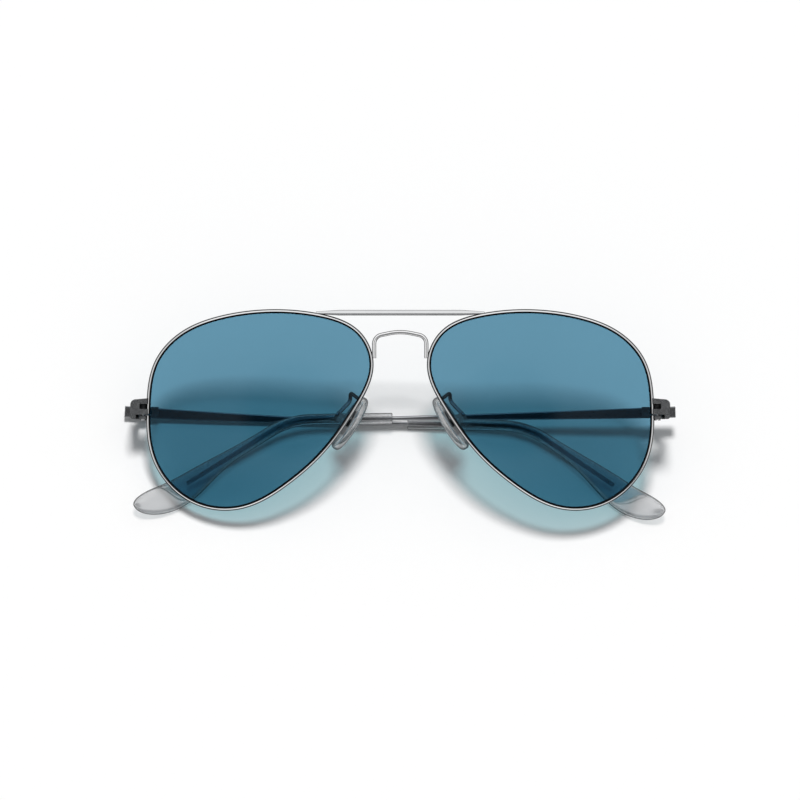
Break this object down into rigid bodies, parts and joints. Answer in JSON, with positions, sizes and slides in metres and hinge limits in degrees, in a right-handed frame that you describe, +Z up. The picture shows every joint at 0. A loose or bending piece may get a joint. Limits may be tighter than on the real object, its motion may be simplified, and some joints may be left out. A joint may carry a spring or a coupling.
{
  "type": "aviator sunglasses",
  "caption": "Folded wire-rimmed aviator sunglasses with teardrop tinted lenses, a double bridge, adjustable nose pads and hinged temples with clear tips.",
  "frame": {"origin": "centre of the bounding box in plan, on the surface the folded glasses lie on", "axes": "+X to the right of someone who faces the lenses, along the width; +Z up from the surface; +Y from the lower edges of the lenses towards the brow bar"},
  "size_m": [0.1428, 0.0482, 0.0342],
  "materials": {
    "polished_metal": "polished silver metal",
    "screw_steel": "turned bright steel",
    "tinted_lens": "polished blue-grey tint",
    "clear_tip": "polished clear",
    "clear_pad": "polished clear, soft"
  },
  "bodies": {
    "front": {"bridge": "polished_metal", "brow_bar": "polished_metal", "end_piece_left": "polished_metal", "end_piece_right": "polished_metal", "front_hinge_leaf_left": "polished_metal", "front_hinge_leaf_right": "polished_metal", "hinge_screw_left": "screw_steel", "hinge_screw_right": "screw_steel", "lens_left": "tinted_lens", "lens_right": "tinted_lens", "pad_arm_left": "polished_metal", "pad_arm_right": "polished_metal", "pad_box_left": "polished_metal", "pad_box_right": "polished_metal", "pad_screw_left": "screw_steel", "pad_screw_right": "screw_steel", "rim_left": "polished_metal", "rim_lock_left": "polished_metal", "rim_lock_right": "polished_metal", "rim_right": "polished_metal", "rim_screw_left": "screw_steel", "rim_screw_right": "screw_steel"},
    "left_temple": {"temple_arm_left": "polished_metal", "temple_tip_left": "clear_tip", "temple_hinge_leaf_left": "polished_metal"},
    "right_temple": {"temple_arm_right": "polished_metal", "temple_tip_right": "clear_tip", "temple_hinge_leaf_right": "polished_metal"},
    "left_pad": {"nose_pad_left": "clear_pad", "pad_insert_left": "polished_metal"},
    "right_pad": {"nose_pad_right": "clear_pad", "pad_insert_right": "polished_metal"}
  },
  "joints": [
    {"name": "left_temple_fold", "type": "hinge", "parent": "front", "child": "left_temple", "pos_m": [-0.06692, 0.00726, 0.00375], "axis": [0, 0.9015, 0.4329], "range_deg": [0, 87.6]},
    {"name": "right_temple_fold", "type": "hinge", "parent": "front", "child": "right_temple", "pos_m": [0.06684, 0.00446, 0.00958], "axis": [0, -0.9015, -0.4329], "range_deg": [0, 90]},
    {"name": "left_pad_rock", "type": "hinge", "parent": "front", "child": "left_pad", "pos_m": [-0.01578, 0.00002, 0.0155], "axis": [-0.2697, 0.5824, -0.7669], "range_deg": [-8, 8]},
    {"name": "right_pad_rock", "type": "hinge", "parent": "front", "child": "right_pad", "pos_m": [0.01462, -0.00061, 0.01683], "axis": [0.3596, 0.5692, -0.7394], "range_deg": [-8, 8]}
  ]
}
